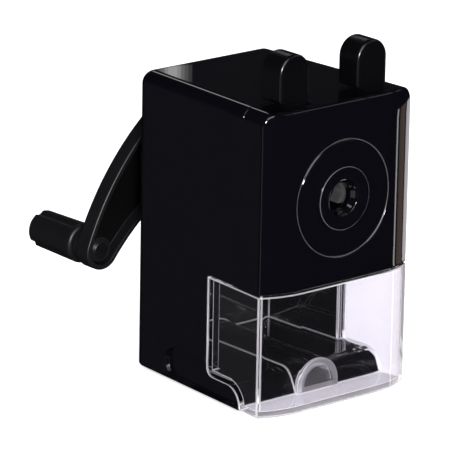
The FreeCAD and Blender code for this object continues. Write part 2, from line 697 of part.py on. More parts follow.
def make_ring_gear():
    """Fixed gear with inner teeth, seated on the bulkhead."""
    back = GEAR_REACH - size("gear_back")
    outline = gear_outline(RING_TEETH, RING_SLOPE + TOOTH_ROOT * MODULE, RING_SLOPE - RING_TIP * MODULE,
                           ROOT_SHARE, RING_TIP_SHARE, 180.0 / RING_TEETH)
    solid = Part.makeCylinder(GEAR_RADIUS, size("gear_back"), Vector(0, 0, back))
    solid = solid.cut(cone_solid(outline, back - PAST, GEAR_MOUTH))
    solid = solid.cut(Part.makeCylinder(GEAR_BORE, size("gear_mouth") + PAST, Vector(0, 0, GEAR_MOUTH)))
    put("ring_gear", solid, ON_AXIS)


def make_pinion():
    """Planet pinion on the front end of the cutter."""
    root = PINION_SLOPE - TOOTH_ROOT * MODULE
    tip = PINION_SLOPE + PINION_TIP * MODULE
    outline = gear_outline(PINION_TEETH, root, tip, ROOT_SHARE, PINION_TIP_SHARE, 0)
    solid = cone_solid(outline, CUTTER_END, PINION_END)
    bore = cutter_bar(size("axle_radius") + size("fit_play"), CUTTER_END - PAST, PINION_END + PAST)
    put("cutter_pinion", solid.cut(bore), ON_CUTTER)


def make_cutter():
    """Steel cutter with twisted cutting teeth, and the axle that it turns on."""
    start = size("cutter_start")
    tip = size("cutter_radius")
    root = tip - size("tooth_depth")
    pitch = 360.0 / CUTTER_TEETH
    wires = []
    for section in range(CUTTER_SECTIONS):
        share = section / (CUTTER_SECTIONS - 1)
        corners = []
        for tooth in range(CUTTER_TEETH):
            edge = tooth * pitch + share * size("cutter_twist")
            for radius, turn in ((tip, 0), (root, EDGE_SHARE * pitch)):
                x, y = polar((0, 0), radius, edge + turn)
                corners.append(Vector(x, y, start + share * (CUTTER_END - start)))
        wires.append(Part.makePolygon(corners + corners[:1]))
    solid = Part.makeLoft(wires, True, True)
    bore = cutter_bar(size("axle_radius") + size("fit_play"), start - PAST, CUTTER_END + PAST)
    put("helical_cutter", solid.cut(bore), ON_CUTTER)
    put("cutter_axle", cutter_bar(size("axle_radius"), size("axle_start"), AXLE_END), ON_CUTTER)


def along_y(radius, start, length):
    """A round bar on the crank axis, before the mechanism is turned into place."""
    return Part.makeCylinder(radius, length, Vector(0, start, 0), Vector(0, 1, 0))


def make_carrier():
    """Carrier: front plate, rear block and the half shell that backs the pencil's cone."""
    bore, wall = size("pencil_bore"), size("shell_wall")
    plate, length = size("carrier_plate"), size("block_length")
    slot = size("tip_room")
    tip = APEX_Y - size("cutter_radius") / math.sin(TILT)
    wide = tip - bore / math.tan(TILT)
    inside = [(bore, CARRIER_Y), (bore, wide), (slot, tip), (slot, BLOCK_Y + PAST)]
    outside = [(radius + wall, y) for radius, y in reversed(inside)]
    corners = [Vector(-radius, y, 0) for radius, y in inside + outside]
    half = Part.Face(Part.makePolygon(corners + corners[:1]))
    half.rotate(Vector(0, 0, 0), Vector(0, 1, 0), -size("shell_sweep") / 2)
    shell = half.revolve(Vector(0, 0, 0), Vector(0, 1, 0), size("shell_sweep"))
    disc = along_y(size("carrier_radius"), CARRIER_Y, plate).cut(along_y(bore, CARRIER_Y, plate))
    rear = along_y(size("block_radius"), BLOCK_Y, length)
    axle = cutter_bar(size("axle_radius"), size("axle_start"), AXLE_END)
    axle.Placement = TURNED.inverse() * ON_CUTTER
    shaft = along_y(size("shaft_radius"), SHAFT_Y, length)
    solid = shell.fuse([disc, rear]).cut([axle, shaft]).removeSplitter()
    put("cutter_carrier", solid, TURNED)


def make_bush():
    """Bearing bush with a flange, pressed into the rear wall."""
    body = new_body("shaft_bush")
    inner = size("shaft_radius") + size("fit_play")
    circles = [(0, AXIS_Z, size("bush_radius")), (0, AXIS_Z, inner)]
    pad(body, add_sketch(body, "XZ_Plane", "-Sizes.body_depth / 2", circles=circles), "2 * Sizes.wall")
    rim = [(0, AXIS_Z, size("bush_flange")), (0, AXIS_Z, inner)]
    pad(body, add_sketch(body, "XZ_Plane", "-(Sizes.body_depth / 2 + Sizes.flange_width)", circles=rim),
        "Sizes.flange_width")


def meet(first, first_radius, second, second_radius):
    """Point at given distances from two points, on the inner side of the crank's bend."""
    chord = second - first
    length = chord.Length
    along = (first_radius ** 2 - second_radius ** 2 + length ** 2) / (2 * length)
    across = math.sqrt(first_radius ** 2 - along ** 2)
    way = chord / length
    return first + way * along + Vector(-way.z, 0, way.x) * across


def arm_outline(inset=0.0):
    """Curved crank arm, or its hollow: hub and end circles joined by two arcs that touch both."""
    hub = Vector(0, 0, AXIS_Z)
    wide, narrow = size("hub_radius"), size("arm_end_radius")
    chord = (KNOB - hub).Length
    bow = size("arm_bow")
    bend = (chord * chord / 4 + bow * bow) / (2 * bow)
    outer = bend + (wide + narrow) / 2
    inner = bend - (wide + narrow) / 2
    outer_center = meet(hub, outer - wide, KNOB, outer - narrow)
    inner_center = meet(hub, inner + wide, KNOB, inner + narrow)
    outer, inner, wide, narrow = outer - inset, inner + inset, wide - inset, narrow - inset

    def ray(center, target, radius):
        point = center + (target - center).normalize() * radius
        return (point.x, point.z)

    hub_top = ray(outer_center, hub, outer)
    hub_low = ray(inner_center, hub, inner)
    end_top = ray(outer_center, KNOB, outer)
    end_low = ray(inner_center, KNOB, inner)
    middle = (hub + KNOB) * 0.5
    tip = KNOB + (KNOB - hub).normalize() * narrow
    back = hub + (hub - KNOB).normalize() * wide
    return [
        hub_top,
        (ray(outer_center, middle, outer), end_top),
        ((tip.x, tip.z), end_low),
        (ray(inner_center, middle, inner), hub_low),
        ((back.x, back.z), hub_top),
    ]


def make_arm():
    """Crank arm, hollow towards the housing, with a hub for the shaft and bosses for the knob's pin."""
    body = new_body("crank_arm")
    hub_front = REAR_Y + size("flange_width") + size("hub_gap")
    pad(body, add_sketch(body, "XZ_Plane", -ARM_BACK, [arm_outline()]), "Sizes.arm_thickness")
    round_edges(body, "Sizes.rim_round", lambda p: near(p.y, ARM_BACK))
    round_edges(body, "Sizes.rim_round / 2", lambda p: near(p.y, ARM_Y))
    hollow = arm_outline(size("arm_wall"))
    pocket(body, add_sketch(body, "XZ_Plane", -(ARM_Y - PAST), [hollow]),
           size("arm_thickness") - size("arm_floor") + PAST)
    root = ARM_BACK - size("arm_floor") / 2
    hub = [(0, AXIS_Z, size("bush_flange"))]
    pad(body, add_sketch(body, "XZ_Plane", -root, circles=hub), root - hub_front)
    pin_seat = [(KNOB.x, KNOB.z, size("pin_boss"))]
    pad(body, add_sketch(body, "XZ_Plane", -root, circles=pin_seat), root - ARM_Y - size("pin_recess"))
    boss = [(KNOB.x, KNOB.z, size("arm_end_radius") - size("rim_round"))]
    pad(body, add_sketch(body, "XZ_Plane", -(ARM_BACK + size("boss_reach")), circles=boss),
        size("boss_reach") + ARM_BACK - root)
    bores = [(0, AXIS_Z, size("shaft_radius")), (KNOB.x, KNOB.z, size("knob_pin"))]
    pocket(body, add_sketch(body, "XZ_Plane", -(hub_front - PAST), circles=bores),
           ARM_BACK + size("boss_reach") - hub_front + 2 * PAST)


def make_knob():
    """Tapered knob with long grooves, turning on its pin."""
    body = new_body("knob")
    base, tip = size("knob_radius"), size("knob_tip_radius")
    end = KNOB_Y + size("knob_length")
    rim = size("rim_round")
    bore = size("knob_pin") + size("fit_play")
    profile = [
        (bore, KNOB_Y), (base - rim, KNOB_Y),
        (polar((base - rim, KNOB_Y + rim), rim, -45), (base, KNOB_Y + rim)),
        (tip, end - rim),
        (polar((tip - rim, end - rim), rim, 45), (tip - rim, end)),
        (0, end), (0, KNOB_CAP_Y), (bore, KNOB_CAP_Y),
    ]
    sketch = add_sketch(body, "XY_Plane", 0, [profile])
    turn = body.newObject("PartDesign::Revolution", "knob_turn")
    turn.Profile = sketch
    turn.ReferenceAxis = (sketch, ["V_Axis"])
    turn.Angle = 360
    doc.recompute()
    flutes = [polar((0, 0), base, FLUTE_START + number * 360.0 / FLUTES) for number in range(FLUTES)]
    circles = [(x, z, size("flute_radius")) for x, z in flutes]
    pocket(body, add_sketch(body, "XZ_Plane", -(KNOB_Y + 2 * rim), circles=circles), "Sizes.knob_length")
    body.Placement.Base = Vector(KNOB.x, 0, KNOB.z)
    doc.recompute()


def biarc(start, start_way, end, end_way):
    """Two arcs that leave start and reach end along given directions."""
    chord = end - start
    both = start_way + end_way
    spread = 2 * (1 - start_way.dot(end_way))
    reach = chord.dot(both)
    step = (-reach + math.sqrt(reach * reach + spread * chord.dot(chord))) / spread
    joint = (start + end + (start_way - end_way) * step) * 0.5
    return [arc_from(start, start_way, joint), arc_from(end, end_way * -1, joint)]


def arc_from(start, way, end):
    """Arc that leaves start along way and reaches end."""
    chord = end - start
    normal = (chord - way * chord.dot(way)).normalize()
    radius = chord.dot(chord) / (2 * chord.dot(normal))
    center = start + normal * radius
    middle = (start + end) * 0.5 - center
    return Part.Arc(start, center + middle.normalize() * radius, end)


def coil(turns, radius, wire, length):
    """Coil spring along Z: one unbroken wire on half-turn pairs of arcs."""
    steps = 4 * turns
    rise = (length - 2 * wire) / steps
    slope = rise / (radius * math.pi / 2)
    edges = []

    def at(number):
        x, y = polar((0, 0), radius, 90 * number)
        return Vector(x, y, wire + rise * number)

    def way(number):
        x, y = polar((0, 0), 1, 90 * number + 90)
        return Vector(x, y, slope).normalize()

    for number in range(steps):
        for arc in biarc(at(number), way(number), at(number + 1), way(number + 1)):
            edges.append(arc.toShape())
    path = Part.Wire(Part.__sortEdges__(edges))
    section = Part.Wire(Part.Circle(at(0), way(0), wire).toShape())
    return path.makePipeShell([section], True, False)


def make_springs():
    """Two return springs on the guide rods and the spring that closes the jaws."""
    gap, wire = size("seam_gap"), size("wire_radius")
    start = BULKHEAD_BACK + size("boss_length") + gap
    length = ROD_END - 2 * size("clip_width") - gap - start
    for label, side in (("left_return_spring", -1), ("right_return_spring", 1)):
        place = Placement(Vector(side * ROD_X, start, ROD_Z), Rotation(Vector(1, 0, 0), -90))
        put(label, coil(SPRING_TURNS, size("coil_radius"), wire, length), place)
    inner = size("pivot_x") - size("neck_width") / 2 - gap
    height = size("body_height") - size("wall") - size("jaw_coil_radius") - wire - gap
    depth = LEVER_BACK - size("lever_depth") / 2
    place = Placement(Vector(-inner, depth, height), Rotation(Vector(0, 1, 0), 90))
    put("jaw_spring", coil(SPRING_TURNS, size("jaw_coil_radius"), wire, 2 * inner), place)


def make_shaft():
    """Drive shaft and the slotted screw that holds the crank on it."""
    body = new_body("drive_shaft")
    pad(body, add_sketch(body, "XZ_Plane", -ARM_BACK, circles=[(0, AXIS_Z, size("shaft_radius"))]),
        ARM_BACK - SHAFT_Y)
    shank = [(0, AXIS_Z, size("screw_shank"))]
    thread_end = ARM_BACK - size("screw_length")
    pocket(body, add_sketch(body, "XZ_Plane", -thread_end, circles=shank), size("screw_length") + PAST)
    screw = new_body("crank_screw")
    head_back = ARM_BACK + size("screw_height")
    pad(screw, add_sketch(screw, "XZ_Plane", -head_back, circles=[(0, AXIS_Z, size("screw_head"))]),
        "Sizes.screw_height")
    round_edges(screw, "Sizes.rim_round / 2", lambda p: near(p.y, head_back))
    pad(screw, add_sketch(screw, "XZ_Plane", -ARM_BACK, circles=shank), "Sizes.screw_length")
    reach = size("screw_head") + PAST
    low, high = AXIS_Z - size("slot_width") / 2, AXIS_Z + size("slot_width") / 2
    slot = [(-reach, low), (reach, low), (reach, high), (-reach, high)]
    pocket(screw, add_sketch(screw, "XZ_Plane", -(head_back - size("slot_depth")), [slot]),
           size("slot_depth") + PAST)


def make_pins():
    """Plain round pieces: guide rods with their clips, lever pins and the knob's pin."""
    pin_front = LEVER_BACK - size("lever_depth") - size("seam_gap")
    for name, side in (("left", -1), ("right", 1)):
        make_bar(name + "_guide_rod", side * ROD_X, ROD_Z, PLATE_FRONT, ROD_END, "Sizes.rod_radius")
        pin_x = side * size("pivot_x")
        make_bar(name + "_jaw_pin", pin_x, PIVOT_Z, pin_front, HEAD_BACK, "Sizes.pivot_radius")
        make_clip(name + "_rod_clip", side)
    make_bar("knob_pin", KNOB.x, KNOB.z, ARM_Y + size("pin_recess") / 2,
             KNOB_CAP_Y - size("pin_end_room"), "Sizes.knob_pin")


make_housing()
make_base()
make_drawer()
make_head()
make_back_plate()
make_guide()
for name, side in (("left", -1), ("right", 1)):
    make_lever(name + "_jaw_lever", side)
    make_jaw(name + "_jaw", side)
make_bulkhead()
make_ring_gear()
make_pinion()
make_cutter()
make_carrier()
make_bush()
make_arm()
make_knob()
make_shaft()
make_pins()
make_springs()

doc.recompute()
os.makedirs("parts", exist_ok=True)
for node in nodes:
    shape = node.Shape
    if "Invalid" in node.State or "Error" in node.State or shape.isNull() or not shape.isValid():
        raise RuntimeError(node.Label + " failed")
    shape.exportStep(os.path.join("parts", node.Label + ".step"))
    print(node.Label, len(shape.Solids), "solids", round(shape.Volume), "mm3")
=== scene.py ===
# %% [markdown]
# # A desk pencil sharpener with a crank, dressed for a studio picture
# The imported model already holds every piece of the sharpener at its real size and place. This lesson
# gives those pieces their looks: softer mouldings where the eye rests, plastics and steels that answer
# light like the real ones, a camera and a small studio. We load the frame first, because each piece
# that we model has to ride on one of its bodies.

# %% Load the frame
import json
import math

import bmesh
import bpy
from mathutils import Matrix, Vector


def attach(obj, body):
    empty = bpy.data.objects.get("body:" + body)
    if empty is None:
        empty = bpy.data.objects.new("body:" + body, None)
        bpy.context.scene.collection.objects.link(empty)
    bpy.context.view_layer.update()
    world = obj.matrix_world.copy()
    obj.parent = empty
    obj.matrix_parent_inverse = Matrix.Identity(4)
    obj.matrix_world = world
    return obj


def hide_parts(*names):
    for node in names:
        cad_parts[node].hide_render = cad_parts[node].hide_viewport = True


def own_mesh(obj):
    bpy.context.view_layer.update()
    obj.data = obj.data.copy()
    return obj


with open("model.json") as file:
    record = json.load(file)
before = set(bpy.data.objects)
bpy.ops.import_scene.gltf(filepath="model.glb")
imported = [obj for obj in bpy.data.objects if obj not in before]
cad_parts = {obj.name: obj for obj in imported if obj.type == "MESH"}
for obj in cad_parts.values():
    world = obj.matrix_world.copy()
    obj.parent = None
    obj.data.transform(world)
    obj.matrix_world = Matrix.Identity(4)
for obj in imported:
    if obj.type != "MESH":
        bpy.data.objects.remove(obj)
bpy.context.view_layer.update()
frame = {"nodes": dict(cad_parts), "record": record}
MM = 0.001

# %% [markdown]
# ## The camera
# A product picture is taken from far away with a long lens, so the sharpener shows almost no
# perspective. We set the lens by its field of view, put the camera on a line given by two angles, and
# build its three axes by hand: backwards, right and up, with a trace of roll. A tracking constraint
# would be shorter, but it can't give the roll, and the other views have to move a plain camera.

# %% Place the camera
CAMERA_AZIMUTH = math.radians(-40.26)
CAMERA_ELEVATION = math.radians(16.934)
CAMERA_ROLL = math.radians(1.019)
CAMERA_PLACE = Vector((-854.6, -988.97, 448.83)) * MM
SENSOR_WIDTH = 36.0
FOCAL_SHARE = 9.467
FAR_CLIP = 20

backwards = Vector((
    math.sin(CAMERA_AZIMUTH) * math.cos(CAMERA_ELEVATION),
    -math.cos(CAMERA_AZIMUTH) * math.cos(CAMERA_ELEVATION),
    math.sin(CAMERA_ELEVATION),
))
level = Vector((math.cos(CAMERA_AZIMUTH), math.sin(CAMERA_AZIMUTH), 0))
upright = backwards.cross(level)
right = level * math.cos(CAMERA_ROLL) + upright * math.sin(CAMERA_ROLL)
up = upright * math.cos(CAMERA_ROLL) - level * math.sin(CAMERA_ROLL)
lens = bpy.data.cameras.new("studio_camera")
lens.sensor_width = SENSOR_WIDTH
lens.lens = SENSOR_WIDTH * FOCAL_SHARE
lens.clip_end = FAR_CLIP
camera = bpy.data.objects.new("studio_camera", lens)
turn = Matrix((right, up, backwards)).transposed()
camera.matrix_world = Matrix.Translation(CAMERA_PLACE) @ turn.to_4x4()
bpy.context.scene.collection.objects.link(camera)
bpy.context.scene.camera = camera
print("lens", round(lens.lens, 1), "mm")

# %% [markdown]
# ## The studio
# Polished black plastic has hardly any colour of its own: what we see is what it mirrors. So the studio
# is white for the eye and for anything seen straight through the clear drawer, but dark for mirrored
# rays. The Light Path node tells the two apart. Light that runs along inside a clear wall is mirrored too,
# but it has crossed one to three surfaces by then. It stays bright if it was mirrored more than once, which
# is why clear edges glow, and keeps only a trace after one reflection, so that clear walls don't look milky.

# %% Floor and surrounding light
def add_node(tree, kind, **values):
    """A new node, with its plain properties and the values of its inputs."""
    node = tree.nodes.new(kind)
    for name, value in values.items():
        if name in node.inputs:
            node.inputs[name].default_value = value
        else:
            setattr(node, name, value)
    return node


NONE_YET, ONE_AT_MOST, OVER_THREE = 0.5, 1.5, 3.5
LOST_AFTER_ONE = 0.92


def mirrored_rays(tree):
    """1 for light that a surface mirrors, 0 for what is seen directly or led along inside a clear wall."""
    path = add_node(tree, "ShaderNodeLightPath")

    def test(source, operation, limit):
        node = add_node(tree, "ShaderNodeMath", operation=operation)
        tree.links.new(path.outputs[source], node.inputs[0])
        node.inputs[1].default_value = limit
        return node

    def join(first, second, operation):
        node = add_node(tree, "ShaderNodeMath", operation=operation)
        tree.links.new(first.outputs[0], node.inputs[0])
        tree.links.new(second.outputs[0], node.inputs[1])
        return node

    mirrored = test("Glossy Depth", "GREATER_THAN", NONE_YET)
    once = test("Glossy Depth", "LESS_THAN", ONE_AT_MOST)
    dimmed = add_node(tree, "ShaderNodeMath", operation="MULTIPLY")
    tree.links.new(once.outputs[0], dimmed.inputs[0])
    dimmed.inputs[1].default_value = LOST_AFTER_ONE
    outside = test("Transmission Depth", "LESS_THAN", NONE_YET)
    behind = test("Transmission Depth", "GREATER_THAN", OVER_THREE)
    not_led = join(join(dimmed, outside, "MAXIMUM"), behind, "MAXIMUM")
    return join(mirrored, not_led, "MULTIPLY").outputs[0]


FLOOR_REACH = 3.0
WHITE = (1.0, 1.0, 1.0, 1.0)
DARK_ROOM = (0.006, 0.006, 0.008, 1.0)
PAPER_TONE = (0.9, 0.9, 0.905, 1.0)
PAPER_ROUGH = 0.9
PAPER_GLOW = 0.45

plot = bmesh.new()
bmesh.ops.create_grid(plot, x_segments=1, y_segments=1, size=FLOOR_REACH)
floor_mesh = bpy.data.meshes.new("floor")
plot.to_mesh(floor_mesh)
plot.free()
floor = bpy.data.objects.new("floor", floor_mesh)
bpy.context.scene.collection.objects.link(floor)
paper = bpy.data.materials.new("white_paper")
paper.use_nodes = True
tree = paper.node_tree
sheet = tree.nodes["Principled BSDF"]
sheet.inputs["Base Color"].default_value = PAPER_TONE
sheet.inputs["Roughness"].default_value = PAPER_ROUGH
sheet.inputs["Emission Color"].default_value = WHITE
sheet.inputs["Emission Strength"].default_value = PAPER_GLOW
gone = add_node(tree, "ShaderNodeBsdfTransparent")
choose = add_node(tree, "ShaderNodeMixShader")
tree.links.new(mirrored_rays(tree), choose.inputs[0])
tree.links.new(sheet.outputs[0], choose.inputs[1])
tree.links.new(gone.outputs[0], choose.inputs[2])
tree.links.new(choose.outputs[0], tree.nodes["Material Output"].inputs["Surface"])
floor_mesh.materials.append(paper)

world = bpy.data.worlds.new("studio")
world.use_nodes = True
tree = world.node_tree
tree.nodes.clear()
bright = add_node(tree, "ShaderNodeBackground", Color=WHITE, Strength=1.0)
dark = add_node(tree, "ShaderNodeBackground", Color=DARK_ROOM, Strength=1.0)
choose = add_node(tree, "ShaderNodeMixShader")
out = add_node(tree, "ShaderNodeOutputWorld")
tree.links.new(mirrored_rays(tree), choose.inputs[0])
tree.links.new(bright.outputs[0], choose.inputs[1])
tree.links.new(dark.outputs[0], choose.inputs[2])
tree.links.new(choose.outputs[0], out.inputs[0])
bpy.context.scene.world = world
bpy.context.scene.view_settings.view_transform = "Standard"
print("floor", FLOOR_REACH * 2, "m wide")

# %% [markdown]
# ## Reflector cards
# A photographer of black gloss works with white cards rather than with lamps: each card shows up as a
# clean bright shape in the plastic and lights nothing else. We hang one behind for the thin lines along
# the rounded edges, one at the right for the tall strip on the head, and fainter ones for the left wall
# and the top. Each card glows only for mirrored rays. A soft lamp gives the matt pieces their shape, and a
# small one shines into the pencil hole. The glow on the top's far corner fades out, so it is a stack of five
# small cards, each a little wider and fainter than the one before.

# %% Hang the cards
MIDDLE = Vector((0, 0, 0.06))


def hang_card(name, way, distance, width, height, glow, tone=(1.0, 1.0, 1.0), start=MIDDLE):
    """A white card in a direction from the sharpener, facing it, seen only in reflections."""
    sheet = bmesh.new()
    bmesh.ops.create_grid(sheet, x_segments=1, y_segments=1, size=0.5)
    bmesh.ops.scale(sheet, verts=sheet.verts, vec=(width, height, 1))
    way = Vector(way).normalized()
    bmesh.ops.transform(sheet, verts=sheet.verts, matrix=way.to_track_quat("Z", "Y").to_matrix().to_4x4())
    bmesh.ops.translate(sheet, verts=sheet.verts, vec=Vector(start) + way * distance)
    mesh = bpy.data.meshes.new(name)
    sheet.to_mesh(mesh)
    sheet.free()
    material = bpy.data.materials.new(name)
    material.use_nodes = True
    nodes = material.node_tree.nodes
    shine = add_node(material.node_tree, "ShaderNodeEmission", Color=(*tone, 1.0), Strength=glow)
    material.node_tree.links.new(shine.outputs[0], nodes["Material Output"].inputs["Surface"])
    mesh.materials.append(material)
    card = bpy.data.objects.new(name, mesh)
    bpy.context.scene.collection.objects.link(card)
    card.visible_camera = False
    card.visible_diffuse = False
    card.visible_transmission = False
    card.visible_shadow = False


LILAC = (1.0, 0.96, 1.0)
WARM = (1.0, 0.75, 0.62)
COOL = (0.85, 0.9, 1.0)
TOP_CORNER = (-0.0205, 0.023, 0.1)
CORNER_WAY = (0.615, 0.748, 0.262)
CORNER_GLOWS = (1.2, 0.9, 0.5, 0.3, 0.15)
CORNER_DISTANCE, CORNER_STEP = 0.06, 0.0002
CORNER_WIDTH, CORNER_WIDER, CORNER_HEIGHT = 0.003, 0.0025, 0.006
hang_card("upper_back_card", (0.39, 0.73, 0.56), 1.0, 0.34, 0.07, 1.8)
for number, glow in enumerate(CORNER_GLOWS):
    hang_card("corner_card", CORNER_WAY, CORNER_DISTANCE + CORNER_STEP * number,
              CORNER_WIDTH + CORNER_WIDER * number, CORNER_HEIGHT, glow, start=TOP_CORNER)
hang_card("right_card", (0.95, 0.05, -0.29), 0.8, 0.2, 0.2, 2.4, LILAC)
hang_card("right_warm_card", (0.94, -0.22, -0.29), 0.8, 0.16, 0.2, 0.5, WARM)
hang_card("right_edge_card", (0.88, -0.39, -0.29), 0.8, 0.035, 0.2, 3.5)
hang_card("upper_front_card", (0.62, -0.41, 0.67), 0.8, 0.8, 0.2, 0.7)
hang_card("low_front_card", (0.62, 0.16, -0.77), 0.8, 0.8, 0.2, 2.0)
hang_card("left_front_card", (-0.87, -0.39, -0.29), 0.8, 0.16, 0.6, 0.7)
hang_card("left_wall_card", (-0.62, 0.75, -0.29), 0.9, 0.42, 0.8, 0.05, COOL)
hang_card("top_card", (0.62, 0.73, 0.29), 1.0, 0.9, 0.3, 0.02, COOL)


def hang_lamp(name, place, size, power):
    """A soft square lamp that points at the sharpener."""
    light = bpy.data.lights.new(name, "AREA")
    light.size = size
    light.energy = power
    lamp = bpy.data.objects.new(name, light)
    bpy.context.scene.collection.objects.link(lamp)
    lamp.location = place
    lamp.rotation_euler = (MIDDLE - lamp.location).to_track_quat("-Z", "Y").to_euler()
    lamp.visible_camera = False


hang_lamp("soft_lamp", (-0.35, -0.75, 0.75), 0.7, 5.0)
hang_lamp("hole_lamp", (-0.58, -0.78, 0.36), 0.12, 10.0)

# %% [markdown]
# ## Moulded plastic
# Moulded plastic is never perfectly even. Polished tools leave faint waves, handling leaves a haze of
# fine dust, and satin parts have a fine grain. One node group makes these three masks from noise at
# real sizes, and every material takes from it what it needs. The group gives out only numbers and a
# height, and the shader stays in the material, where the export can read it.

# %% Surface group
def surface_group():
    """Waves, haze and grain in object space, as one shared node group."""
    group = bpy.data.node_groups.new("moulded_surface", "ShaderNodeTree")
    face = group.interface
    face.new_socket("Wave Scale", in_out="INPUT", socket_type="NodeSocketFloat").default_value = 60.0
    face.new_socket("Grain Scale", in_out="INPUT", socket_type="NodeSocketFloat").default_value = 2500.0
    face.new_socket("Wave", in_out="OUTPUT", socket_type="NodeSocketFloat")
    face.new_socket("Haze", in_out="OUTPUT", socket_type="NodeSocketFloat")
    face.new_socket("Grain", in_out="OUTPUT", socket_type="NodeSocketFloat")
    start = group.nodes.new("NodeGroupInput")
    end = group.nodes.new("NodeGroupOutput")
    place = add_node(group, "ShaderNodeTexCoord")
    wave = add_node(group, "ShaderNodeTexNoise", Detail=1.0, Roughness=0.4)
    haze = add_node(group, "ShaderNodeTexNoise", Scale=140.0, Detail=5.0, Roughness=0.65)
    grain = add_node(group, "ShaderNodeTexNoise", Detail=2.0, Roughness=0.5)
    for noise in (wave, haze, grain):
        group.links.new(place.outputs["Object"], noise.inputs["Vector"])
    group.links.new(start.outputs["Wave Scale"], wave.inputs["Scale"])
    group.links.new(start.outputs["Grain Scale"], grain.inputs["Scale"])
    group.links.new(wave.outputs["Fac"], end.inputs["Wave"])
    group.links.new(haze.outputs["Fac"], end.inputs["Haze"])
    group.links.new(grain.outputs["Fac"], end.inputs["Grain"])
    return group


SURFACE = surface_group()


def new_finish(name):
    """An empty procedural material with the surface group in it: (material, tree, shader, group)."""
    material = bpy.data.materials.new(name)
    material.use_nodes = True
    tree = material.node_tree
    shader = tree.nodes["Principled BSDF"]
    masks = tree.nodes.new("ShaderNodeGroup")
    masks.node_tree = SURFACE
    return material, tree, shader, masks


def spread(tree, source, low, high):
    """Map a mask from 0..1 to a range of values."""
    ramp = add_node(tree, "ShaderNodeMapRange")
    ramp.inputs["To Min"].default_value = low
    ramp.inputs["To Max"].default_value = high
    tree.links.new(source, ramp.inputs["Value"])
    return ramp.outputs["Result"]


def tint(tree, source, first, second):
    """Blend two colours by a mask."""
    blend = add_node(tree, "ShaderNodeMix", data_type="RGBA")
    blend.inputs[6].default_value = first
    blend.inputs[7].default_value = second
    tree.links.new(source, blend.inputs[0])
    return blend.outputs[2]


def relief(tree, shader, height, distance, strength):
    """Turn a mask into fine relief on the shader's normal."""
    bump = add_node(tree, "ShaderNodeBump", Strength=strength, Distance=distance)
    tree.links.new(height, bump.inputs["Height"])
    tree.links.new(bump.outputs["Normal"], shader.inputs["Normal"])


print("group sockets:", [item.name for item in SURFACE.interface.items_tree])


# %% Black plastics
PLASTIC_IOR = 1.5


def plastic_finish(name, dark_tone, light_tone, rough, depth, mask):
    """Moulded plastic: two near tones, a range of roughness and fine relief."""
    material, tree, shader, masks = new_finish(name)
    tree.links.new(tint(tree, masks.outputs["Haze"], dark_tone, light_tone), shader.inputs["Base Color"])
    tree.links.new(spread(tree, masks.outputs["Haze"], *rough), shader.inputs["Roughness"])
    relief(tree, shader, masks.outputs[mask], depth, 1.0)
    shader.inputs["IOR"].default_value = PLASTIC_IOR
    return material


GLOSS_BLACK = plastic_finish(
    "polished_black", (0.0011, 0.001, 0.0018, 1), (0.0017, 0.0016, 0.0026, 1), (0.03, 0.08), 0.00001, "Wave")
SATIN_BLACK = plastic_finish(
    "satin_black", (0.0008, 0.0008, 0.0013, 1), (0.0018, 0.0018, 0.0025, 1), (0.2, 0.3), 0.000004, "Grain")
CRANK_BLACK = plastic_finish(
    "crank_black", (0.0026, 0.0026, 0.004, 1), (0.0046, 0.0046, 0.0062, 1), (0.35, 0.5), 0.00001, "Grain")
# A darker, duller black for the floor of the arm's hollow: painted shade.
HOLLOW_PAINTED_SHADE = plastic_finish(
    "painted_shade_black", (0.0002, 0.0002, 0.0004, 1), (0.0005, 0.0005, 0.0007, 1), (0.55, 0.7), 0.00001, "Grain")
PAINTED_SHADE_SHINE = 0.15
HOLLOW_PAINTED_SHADE.node_tree.nodes["Principled BSDF"].inputs["Specular IOR Level"].default_value = PAINTED_SHADE_SHINE
NYLON = plastic_finish(
    "natural_nylon", (0.62, 0.59, 0.5, 1), (0.7, 0.67, 0.6, 1), (0.42, 0.55), 0.00001, "Grain")
RUBBER = plastic_finish(
    "soft_rubber", (0.012, 0.012, 0.012, 1), (0.022, 0.022, 0.022, 1), (0.7, 0.85), 0.00003, "Grain")
# A lighter, rougher black for the thin ring lines: a painted highlight.
PAINTED_HIGHLIGHT_LINE = plastic_finish(
    "painted_highlight_line", (0.03, 0.03, 0.034, 1), (0.07, 0.07, 0.075, 1), (0.2, 0.35), 0.000004, "Grain")
print("plastics:", [finish.name for finish in (
    GLOSS_BLACK, SATIN_BLACK, CRANK_BLACK, HOLLOW_PAINTED_SHADE, NYLON, RUBBER, PAINTED_HIGHLIGHT_LINE)])


# %% Clear plastic and metals
CLEAR_IOR = 1.46
CLEAR_DEEP = (0.83, 0.805, 0.86, 1)
CLEAR_PALE = (0.86, 0.84, 0.89, 1)
METAL_RELIEF = 0.000004


def clear_finish(name, rough, clearness):
    """Clear styrene: see-through, with a lilac tint and a trace of haze."""
    material, tree, shader, masks = new_finish(name)
    tree.links.new(tint(tree, masks.outputs["Haze"], CLEAR_DEEP, CLEAR_PALE), shader.inputs["Base Color"])
    tree.links.new(spread(tree, masks.outputs["Haze"], *rough), shader.inputs["Roughness"])
    shader.inputs["Transmission Weight"].default_value = clearness
    shader.inputs["IOR"].default_value = CLEAR_IOR
    return material


def metal_finish(name, dark_tone, light_tone, rough):
    """Machined metal: fine marks in tone and roughness."""
    material, tree, shader, masks = new_finish(name)
    tree.links.new(tint(tree, masks.outputs["Grain"], dark_tone, light_tone), shader.inputs["Base Color"])
    tree.links.new(spread(tree, masks.outputs["Haze"], *rough), shader.inputs["Roughness"])
    relief(tree, shader, masks.outputs["Grain"], METAL_RELIEF, 1.0)
    shader.inputs["Metallic"].default_value = 1.0
    return material


